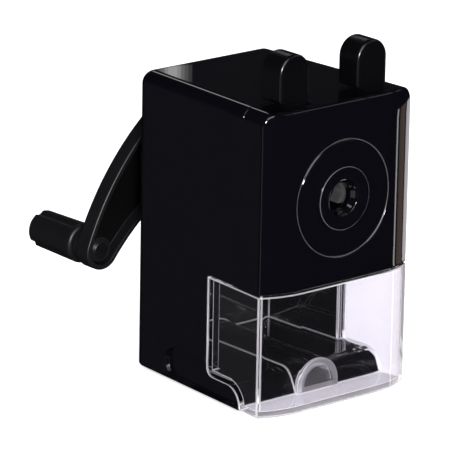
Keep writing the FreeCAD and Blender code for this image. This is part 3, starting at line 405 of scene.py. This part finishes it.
CLEAR = clear_finish("clear_styrene", (0.0, 0.006), 1.0)
CLEAR_EDGE = clear_finish("clear_edge", (0.3, 0.5), 0.78)
CLEAR_FOOT = clear_finish("clear_foot", (0.3, 0.5), 0.72)
CLEAR_COLLAR = clear_finish("clear_collar", (0.3, 0.5), 0.87)
CLEAR_CAP = clear_finish("clear_cap", (0.15, 0.3), 0.96)
STEEL = metal_finish("ground_steel", (0.5, 0.5, 0.51, 1), (0.66, 0.66, 0.67, 1), (0.16, 0.32))
JAW_STEEL = metal_finish("bright_jaw_steel", (0.7, 0.7, 0.71, 1), (0.85, 0.85, 0.86, 1), (0.35, 0.55))
ZINC = metal_finish("cast_zinc", (0.42, 0.43, 0.45, 1), (0.52, 0.53, 0.55, 1), (0.35, 0.55))
BRASS = metal_finish("turned_brass", (0.66, 0.46, 0.17, 1), (0.76, 0.56, 0.24, 1), (0.2, 0.38))
FINISH_OF_SLOT = {
    "black_gloss": GLOSS_BLACK, "black_satin": SATIN_BLACK, "clear": CLEAR, "steel": STEEL,
    "nylon": NYLON, "zinc": ZINC, "brass": BRASS, "rubber": RUBBER,
}
SLOT_OF_NODE = {part["node"]: part["material_slot"] for part in frame["record"]["subparts"]}
for name, node in frame["nodes"].items():
    node.data.materials.clear()
    node.data.materials.append(FINISH_OF_SLOT[SLOT_OF_NODE[name]])
for name in ("left_jaw", "right_jaw"):
    frame["nodes"][name].data.materials[0] = JAW_STEEL
print("dressed nodes:", len(SLOT_OF_NODE))

# %% [markdown]
# ## Working habits
# Every piece is modelled in millimetres at its real place, because drawings of such an object are in
# millimetres, and is brought to metres at the end. Three helpers repeat all the time: one grows a loop of
# edges and puts the new points where a rule says, one merges the doubles, turns the faces outwards and
# hands the finished piece to its body, and one lets the large faces lead the shading.

# %% Helpers for modelling
WELD = 0.0005
AXIS_Z = 69.0
NOSE_Y = -37.25


def parts_of(geom, kind):
    """The vertices, edges or faces in the answer of an operator."""
    return [item for item in geom if isinstance(item, kind)]


def grow(bm, loop, rule):
    """Extrude a loop of edges and place each new point by a rule: the new loop."""
    made = bmesh.ops.extrude_edge_only(bm, edges=loop)["geom"]
    for vert in parts_of(made, bmesh.types.BMVert):
        vert.co = rule(vert.co)
    return parts_of(made, bmesh.types.BMEdge)


def settle(bm, name, finishes, body, slot, nodes, scale=MM, sharp=30):
    """Merge, turn outwards, bring to metres and hand the piece to its body."""
    bmesh.ops.remove_doubles(bm, verts=bm.verts, dist=WELD * MM / scale)
    bmesh.ops.recalc_face_normals(bm, faces=bm.faces)
    bmesh.ops.scale(bm, vec=(scale, scale, scale), verts=bm.verts)
    mesh = bpy.data.meshes.new(name)
    bm.to_mesh(mesh)
    bm.free()
    mesh.shade_smooth()
    mesh.set_sharp_from_angle(angle=math.radians(sharp))
    for finish in finishes:
        mesh.materials.append(finish)
    piece = bpy.data.objects.new(name, mesh)
    bpy.context.scene.collection.objects.link(piece)
    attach(piece, body)
    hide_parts(*nodes)
    print(name, len(mesh.polygons), "faces")
    return piece


def even_shading(piece):
    """Let the large flat faces lead the shading, so that small bevels shine and panels stay flat."""
    weigh = piece.modifiers.new("even_shading", "WEIGHTED_NORMAL")
    weigh.keep_sharp = True


print("axis at", AXIS_Z, "mm")

# %% [markdown]
# ## The gripping head
# The head is one moulding: a flat panel that bows back to both sides and below its top edge, a fine ring
# groove, a round seat for the pencil guide, and two slots on top for the pinch tabs. A box with a
# boolean would do, but the bow would then be faceted. Instead all its walls grow from one outline loop,
# so that ring, bow and edges share the same flow of faces and the reflections run smoothly across.

# %% Head outline and bowed front
HEAD_LOW = 41.4
HEAD_TOP = 100.0
HEAD_BACK = -23.55
FRONT_HALF = 31.0
CORNER_Y = -33.25
TAPER = 0.06391
BOW_RADIUS = 30.125
FLAT_HALF = 16.0
CROWN_LOW = 91.0
TOP_ROUND = 4.5
TOP_SEGMENTS = 10
OUTLINE_CUTS = 63
BLEND_POWER = 3.0


def half_width(y):
    """Half width of the tapered body at a depth."""
    return FRONT_HALF - TAPER * (y - CORNER_Y)


def bow(x, z):
    """Depth of the front surface: flat in the middle, falling back to the sides and the top."""
    side = max(0.0, abs(x) - FLAT_HALF)
    rise = max(0.0, z - CROWN_LOW)
    reach = (side ** BLEND_POWER + rise ** BLEND_POWER) ** (1 / BLEND_POWER)
    return NOSE_Y + BOW_RADIUS - math.sqrt(BOW_RADIUS ** 2 - reach ** 2)


def on_front(point):
    """The same point moved onto the bowed front."""
    return Vector((point.x, bow(point.x, point.z), point.z))


def on_ring(radius, depth=0.0):
    """A rule that moves points towards the pencil axis, onto a ring at a depth below the front."""
    def rule(point):
        way = Vector((point.x, 0, point.z - AXIS_Z)).normalized() * radius
        spot = Vector((way.x, 0, way.z + AXIS_Z))
        return Vector((spot.x, bow(spot.x, spot.z) + depth, spot.z))
    return rule


head = bmesh.new()
bmesh.ops.create_grid(head, x_segments=1, y_segments=1, size=1.0)
bmesh.ops.rotate(head, verts=head.verts, matrix=Matrix.Rotation(math.pi / 2, 3, "X"))
bmesh.ops.scale(head, verts=head.verts, vec=(FRONT_HALF, 1, (HEAD_TOP - HEAD_LOW) / 2))
bmesh.ops.translate(head, verts=head.verts, vec=(0, 0, (HEAD_TOP + HEAD_LOW) / 2))
upper = [vert for vert in head.verts if vert.co.z > AXIS_Z]
bmesh.ops.bevel(head, geom=upper, affect="VERTICES", offset=TOP_ROUND, segments=TOP_SEGMENTS, profile=0.5,
                material=-1)
bmesh.ops.delete(head, geom=list(head.faces), context="FACES_ONLY")
long_edges = [edge for edge in head.edges if edge.calc_length() > TOP_ROUND]
bmesh.ops.subdivide_edges(head, edges=long_edges, cuts=OUTLINE_CUTS)
for vert in head.verts:
    vert.co = on_front(vert.co)
rim = list(head.edges)
print("outline points:", len(head.verts))

# %% Ring groove, guide seat and back
RING_RADIUS = 19.0
RING_HALF = 0.5
RING_DEPTH = 0.4
RING_STEPS = 10
RING_LINE = 0.15
SEAT_RADIUS = 10.35
WALL = 2.6
FRONT_WALL = 3.0
PANEL_LOOPS = 14
SEAT_LOOPS = 4


def band(bm, loop, rule, cuts):
    """Grow a loop and divide the new band into narrower bands that lie on the front."""
    before = set(bm.edges)
    new_loop = grow(bm, loop, rule)
    rungs = [edge for edge in bm.edges if edge not in before and edge not in set(new_loop)]
    made = bmesh.ops.subdivide_edges(bm, edges=rungs, cuts=cuts)["geom_inner"]
    for vert in parts_of(made, bmesh.types.BMVert):
        vert.co = on_front(vert.co)
    return new_loop


ring = band(head, rim, on_ring(RING_RADIUS + RING_HALF), PANEL_LOOPS)
for step in range(1, RING_STEPS + 1):
    share = step / RING_STEPS
    depth = RING_DEPTH * (1 - math.cos(math.tau * share)) / 2
    ring = grow(head, ring, on_ring(RING_RADIUS + RING_HALF * (1 - 2 * share), depth))
seat = band(head, ring, on_ring(SEAT_RADIUS), SEAT_LOOPS)
seat_back = grow(head, seat, on_ring(SEAT_RADIUS, FRONT_WALL))


def to_back(point):
    """Along the tapered side to the back of the head."""
    return Vector((point.x * half_width(HEAD_BACK) / FRONT_HALF, HEAD_BACK, point.z))


def inwards(point):
    """In from the outside by one wall, on all four sides."""
    middle = (HEAD_TOP + HEAD_LOW) / 2
    share = 1 - 2 * WALL / (HEAD_TOP - HEAD_LOW)
    return Vector((point.x * (1 - WALL / FRONT_HALF), point.y, middle + (point.z - middle) * share))


def to_inner_front(point):
    """Forward inside the head, to the back of its front wall."""
    return Vector((point.x, bow(point.x, point.z) + FRONT_WALL, point.z))


back = grow(head, rim, to_back)
inside = grow(head, back, inwards)
inside_front = grow(head, inside, to_inner_front)
bmesh.ops.bridge_loops(head, edges=inside_front + seat_back)
print("head faces:", len(head.faces))

# %% Tab slots and soft edges of the head
SLOT_INNER = 9.4
SLOT_OUTER = 21.3
SLOT_FRONT = -32.3
SLOT_BACK = -26.05
EDGE_SOFT = 0.9
EDGE_FINE = 0.25
CRISP_ANGLE = math.radians(50)


def cut_top(bm, place, way):
    """Cut the top wall, outside and inside, along a plane."""
    faces = [face for face in bm.faces if min(vert.co.z for vert in face.verts) > HEAD_TOP - 2 * WALL]
    edges = {edge for face in faces for edge in face.edges}
    verts = {vert for face in faces for vert in face.verts}
    bmesh.ops.bisect_plane(bm, geom=faces + list(edges) + list(verts), dist=WELD,
                           plane_co=place, plane_no=way)


for side in (-1, 1):
    for x in (SLOT_INNER, SLOT_OUTER):
        cut_top(head, (side * x, 0, 0), (1, 0, 0))
for y in (SLOT_FRONT, SLOT_BACK):
    cut_top(head, (0, y, 0), (0, 1, 0))
for side in (-1, 1):
    opened = []
    for face in head.faces:
        spot = face.calc_center_median()
        across = SLOT_INNER < side * spot.x < SLOT_OUTER and SLOT_FRONT < spot.y < SLOT_BACK
        if across and spot.z > HEAD_TOP - 2 * WALL:
            opened.append(face)
    bmesh.ops.delete(head, geom=opened, context="FACES")
    slot_rim = [edge for edge in head.edges if edge.is_boundary]
    bmesh.ops.bridge_loops(head, edges=slot_rim)
front_rim = [edge for edge in rim if edge.is_valid]
bmesh.ops.bevel(head, geom=front_rim, affect="EDGES", offset=EDGE_SOFT, segments=5, profile=0.5, material=-1)
bmesh.ops.recalc_face_normals(head, faces=head.faces)
crisp = [edge for edge in head.edges if edge.is_manifold and edge.calc_face_angle() > CRISP_ANGLE]
bmesh.ops.bevel(head, geom=crisp, affect="EDGES", offset=EDGE_FINE, segments=2, profile=0.5, material=-1,
                clamp_overlap=True)
# The faces along the ring groove take the lighter black: a painted highlight line.
for face in head.faces:
    spot = face.calc_center_median()
    from_ring = abs(math.hypot(spot.x, spot.z - AXIS_Z) - RING_RADIUS)
    if spot.y < NOSE_Y + RING_DEPTH + EDGE_FINE and from_ring < RING_LINE:
        face.material_index = 1
head_piece = settle(head, "gripping_head", [GLOSS_BLACK, PAINTED_HIGHLIGHT_LINE], "head", "black_gloss", ["head_shell"])
even_shading(head_piece)

# %% [markdown]
# ## The pencil guide
# The guide is a turned-looking insert: a flat collar, a funnel with one step and the pencil hole. Anything
# turned is easiest as half a section spun once round its axis. The bevels of the two front circles take a
# second, lighter and duller finish: a painted highlight line.

# %% Spin the guide
GUIDE_SECTION = (
    (4.5, -32.95), (4.5, -35.01), (5.7, -36.45), (5.7, -37.05), (6.9, -37.65), (10.3, -37.65),
    (10.3, -34.25), (7.1, -34.25), (7.1, -32.95),
)
GUIDE_STEPS = 128
GUIDE_EDGE = 0.22


def spun(section, steps, x, z):
    """A closed section of (radius, depth) points spun once round an axis along Y."""
    bm = bmesh.new()
    verts = [bm.verts.new((x + radius, y, z)) for radius, y in section]
    chain = [bm.edges.new(pair) for pair in zip(verts, verts[1:] + verts[:1])]
    bmesh.ops.spin(bm, geom=verts + chain, cent=(x, 0, z), axis=(0, 1, 0), angle=math.tau, steps=steps,
                   use_merge=True)
    bmesh.ops.remove_doubles(bm, verts=bm.verts, dist=WELD)
    bmesh.ops.recalc_face_normals(bm, faces=bm.faces)
    return bm


def soft_edges(bm, width, segments, angle=35):
    """Round every sharp edge: the new faces."""
    sharp = [edge for edge in bm.edges if edge.is_manifold and edge.calc_face_angle() > math.radians(angle)]
    return bmesh.ops.bevel(bm, geom=sharp, affect="EDGES", offset=width, segments=segments, profile=0.5,
                           material=-1)["faces"]


guide = spun(GUIDE_SECTION, GUIDE_STEPS, 0, AXIS_Z)
# The bevels of the front circles take the lighter black: a painted highlight line.
for face in soft_edges(guide, GUIDE_EDGE, 3):
    if face.calc_center_median().y < NOSE_Y:
        face.material_index = 1
guide_piece = settle(guide, "funnel_insert", [GLOSS_BLACK, PAINTED_HIGHLIGHT_LINE], "head", "black_gloss",
                     ["pencil_guide"])
even_shading(guide_piece)

# %% [markdown]
# ## The springs
# Three coil springs work inside. Their wire is round and drawn, and the end coils lie close together so
# that they stand square. A curve with a bevel would be quick, but a spun circle that also moves along the
# axis gives a clean mesh, and its three stretches, tight, open and tight, are three spins in a row.

# %% Wind the springs
WIRE = 0.4
COIL_STEPS = 32
WIRE_SIDES = 12
CLOSE_TURNS = 1.0
OPEN_TURNS = 5.0
CLOSE_PITCH = 0.86


def wound_wire(start, length, radius):
    """A spring along +Z from a start point: closed ends and open turns between them."""
    bm = bmesh.new()
    made = bmesh.ops.create_circle(bm, cap_ends=True, segments=WIRE_SIDES, radius=WIRE)
    bmesh.ops.rotate(bm, verts=made["verts"], matrix=Matrix.Rotation(math.pi / 2, 3, "X"))
    bmesh.ops.translate(bm, verts=made["verts"], vec=Vector((radius, 0, WIRE)))
    open_pitch = (length - 2 * WIRE - 2 * CLOSE_TURNS * CLOSE_PITCH) / OPEN_TURNS
    start_cap = tip = list(bm.faces)
    for turns, pitch in ((CLOSE_TURNS, CLOSE_PITCH), (OPEN_TURNS, open_pitch), (CLOSE_TURNS, CLOSE_PITCH)):
        steps = round(turns * COIL_STEPS)
        made = bmesh.ops.spin(bm, geom=tip, cent=(0, 0, 0), axis=(0, 0, 1), dvec=(0, 0, pitch / COIL_STEPS),
                              angle=math.tau * turns, steps=steps)
        if tip is not start_cap:
            bmesh.ops.delete(bm, geom=tip, context="FACES_ONLY")
        tip = parts_of(made["geom_last"], bmesh.types.BMFace)
    bmesh.ops.translate(bm, verts=bm.verts, vec=start)
    return bm


SPRING_START = -12.75
SPRING_LENGTH = 37.65
SPRING_X = 20.49
SPRING_Z = 58.0
SPRING_RADIUS = 2.9
for side, name in ((-1, "left_return_spring"), (1, "right_return_spring")):
    coil = wound_wire((0, 0, 0), SPRING_LENGTH, SPRING_RADIUS)
    bmesh.ops.rotate(coil, verts=coil.verts, matrix=Matrix.Rotation(-math.pi / 2, 3, "X"))
    bmesh.ops.translate(coil, verts=coil.verts, vec=(side * SPRING_X, SPRING_START, SPRING_Z))
    spring = settle(coil, name + "_wire", [STEEL], "body", "steel", [name], sharp=60)
    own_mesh(spring)

JAW_SPRING_HALF = 11.7
JAW_SPRING_Y = -29.5
JAW_SPRING_Z = 94.67
JAW_SPRING_RADIUS = 2.03
coil = wound_wire((0, 0, 0), 2 * JAW_SPRING_HALF, JAW_SPRING_RADIUS)
bmesh.ops.rotate(coil, verts=coil.verts, matrix=Matrix.Rotation(math.pi / 2, 3, "Y"))
bmesh.ops.translate(coil, verts=coil.verts, vec=(-JAW_SPRING_HALF, JAW_SPRING_Y, JAW_SPRING_Z))
spring = settle(coil, "jaw_spring_wire", [STEEL], "head", "steel", ["jaw_spring"], sharp=60)
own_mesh(spring)

# %% [markdown]
# ## Housing, base and crank
# These mouldings have the right shape in the model, but every edge there is razor sharp, and a real mould
# leaves a small radius that catches the light as a thin bright line. Modelling them again would only repeat
# the drawing. So we take a copy of the mesh, merge its doubles, dissolve the flat triangles into whole
# panels and bevel what is still sharp. The floor of the hollow arm lies out of the light between arm and
# housing, so it takes a darker, duller black: painted shade.

# %% Soften the large mouldings
FLAT_ANGLE = math.radians(0.6)
SHARP_ANGLE = math.radians(35)


def soften(bm, edges, width, segments=3):
    """Give the sharp ones of some edges a small radius, and mark the new faces with the second finish."""
    sharp = [edge for edge in edges if edge.is_manifold and edge.calc_face_angle() > SHARP_ANGLE]
    made = bmesh.ops.bevel(bm, geom=sharp, affect="EDGES", offset=width * MM, segments=segments, profile=0.5,
                           material=-1)
    for face in made["faces"]:
        face.material_index = 1
    return len(sharp)


def copied(node):
    """A copy of a node's mesh with its flat triangles dissolved into whole panels."""
    bm = bmesh.new()
    bm.from_mesh(frame["nodes"][node].data)
    bmesh.ops.remove_doubles(bm, verts=bm.verts, dist=WELD * MM)
    bmesh.ops.dissolve_limit(bm, angle_limit=FLAT_ANGLE, use_dissolve_boundaries=False,
                             verts=bm.verts, edges=bm.edges)
    for face in bm.faces:
        face.material_index = 0
    return bm


def keep_inside(bm, node):
    """Hold every point of a softened copy inside the box of the node that it was taken from."""
    points = [vert.co for vert in frame["nodes"][node].data.vertices]
    for axis in range(3):
        low, high = min(point[axis] for point in points), max(point[axis] for point in points)
        for vert in bm.verts:
            vert.co[axis] = min(max(vert.co[axis], low), high)


RECESS_LOW, RECESS_HIGH = 1.9, 11.9
RECESS_FRONT, RECESS_BACK = -5.0, 15.9
RECESS_DEPTH = 1.6
RECESS_EDGE = 0.7


def in_recess(edge):
    """Whether an edge belongs to one of the finger recesses low on the sides of the housing."""
    return all(abs(vert.co.x) / MM > half_width(vert.co.y / MM) - RECESS_DEPTH
               and RECESS_LOW < vert.co.z / MM < RECESS_HIGH and RECESS_FRONT < vert.co.y / MM < RECESS_BACK
               for vert in edge.verts)


HOLLOW_FLOOR_Y = 48.5
FACES_HOUSING = -0.9


def in_hollow(face):
    """Whether a face is the floor of the arm's hollow, which faces the housing."""
    return face.normal.y < FACES_HOUSING and face.calc_center_median().y / MM > HOLLOW_FLOOR_Y


for node, name, body, slot, finish, width in (
        ("housing", "body_shell", "body", "black_gloss", GLOSS_BLACK, 0.35),
        ("base_plate", "base_moulding", "body", "black_gloss", GLOSS_BLACK, 0.3),
        ("crank_arm", "crank_lever", "crank", "black_satin", CRANK_BLACK, 0.12),
        ("knob", "fluted_knob", "handle", "black_satin", CRANK_BLACK, 0.35)):
    moulding = copied(node)
    wide = soften(moulding, [edge for edge in moulding.edges if in_recess(edge)], RECESS_EDGE)
    fine = soften(moulding, moulding.edges, width)
    keep_inside(moulding, node)
    # The floor of the arm's hollow takes the darker black: painted shade.
    for face in moulding.faces:
        face.material_index = int(node == "crank_arm" and in_hollow(face))
    finishes = [finish, HOLLOW_PAINTED_SHADE] if node == "crank_arm" else [finish]
    even_shading(settle(moulding, name, finishes, body, slot, [node], scale=1.0))
    print(name, "edges softened:", wide, "in the recess,", fine, "elsewhere")

# %% [markdown]
# ## The clear drawer
# Clear styrene shows its edges more than its faces: light that runs inside the walls leaves at every rim,
# so rims, corners and the ends of the walls glow. The bevels and the bands along the wall ends take a
# slightly frosted finish that lets this light out. The foot of the drawer and the collar round the tunnel
# have frosted finishes of their own, and the wall inside the collar is only a little hazy.

# %% Glowing edges of the drawer
DRAWER_WALL = 2.0
DRAWER_FOOT = 2.0
DRAWER_EDGE = 0.4
TUNNEL_FRONT = -26.45
TUNNEL_REACH = 8.5
CAP_SLACK = 0.05
EDGE, FOOT, COLLAR, CAP = 1, 2, 3, 4
FACES_BACK, FACES_DOWN, FACES_LOW, FACES_FRONT = 0.5, -0.3, -0.1, -0.99


def at_wall_end(face):
    """Whether a face looks backwards or down, as the ends of the drawer's walls do."""
    return face.normal.y > FACES_BACK or face.normal.z < FACES_DOWN


drawer = copied("drawer")
soften(drawer, drawer.edges, DRAWER_EDGE)
bmesh.ops.scale(drawer, vec=(1 / MM, 1 / MM, 1 / MM), verts=drawer.verts)
for side in (-1, 1):
    ends = [face for face in drawer.faces if at_wall_end(face)]
    edges = {edge for face in ends for edge in face.edges}
    verts = {vert for face in ends for vert in face.verts}
    bmesh.ops.bisect_plane(drawer, geom=ends + list(edges) + list(verts), dist=WELD,
                           plane_co=(side * (FRONT_HALF - DRAWER_WALL), CORNER_Y, 0),
                           plane_no=(side, TAPER, 0))
cap = [face for face in drawer.faces
       if face.normal.y < FACES_FRONT and abs(face.calc_center_median().y - TUNNEL_FRONT) < CAP_SLACK
       and abs(face.calc_center_median().x) < TUNNEL_REACH]
collar = bmesh.ops.inset_region(drawer, faces=cap, thickness=DRAWER_WALL, use_even_offset=True)["faces"]
for face in cap:
    face.material_index = CAP
for face in collar:
    face.material_index = COLLAR
for face in drawer.faces:
    spot = face.calc_center_median()
    if abs(spot.x) > half_width(spot.y) - DRAWER_WALL and at_wall_end(face):
        face.material_index = EDGE
    elif spot.z < DRAWER_FOOT and face.normal.z < FACES_LOW:
        face.material_index = FOOT
DRAWER_FINISHES = [CLEAR, CLEAR_EDGE, CLEAR_FOOT, CLEAR_COLLAR, CLEAR_CAP]
tray = settle(drawer, "clear_drawer", DRAWER_FINISHES, "tray", "clear", ["drawer"])
even_shading(tray)
tray.visible_shadow = False
tray.visible_diffuse = False
print("collar faces:", len(collar), "of", len(cap), "cap faces")
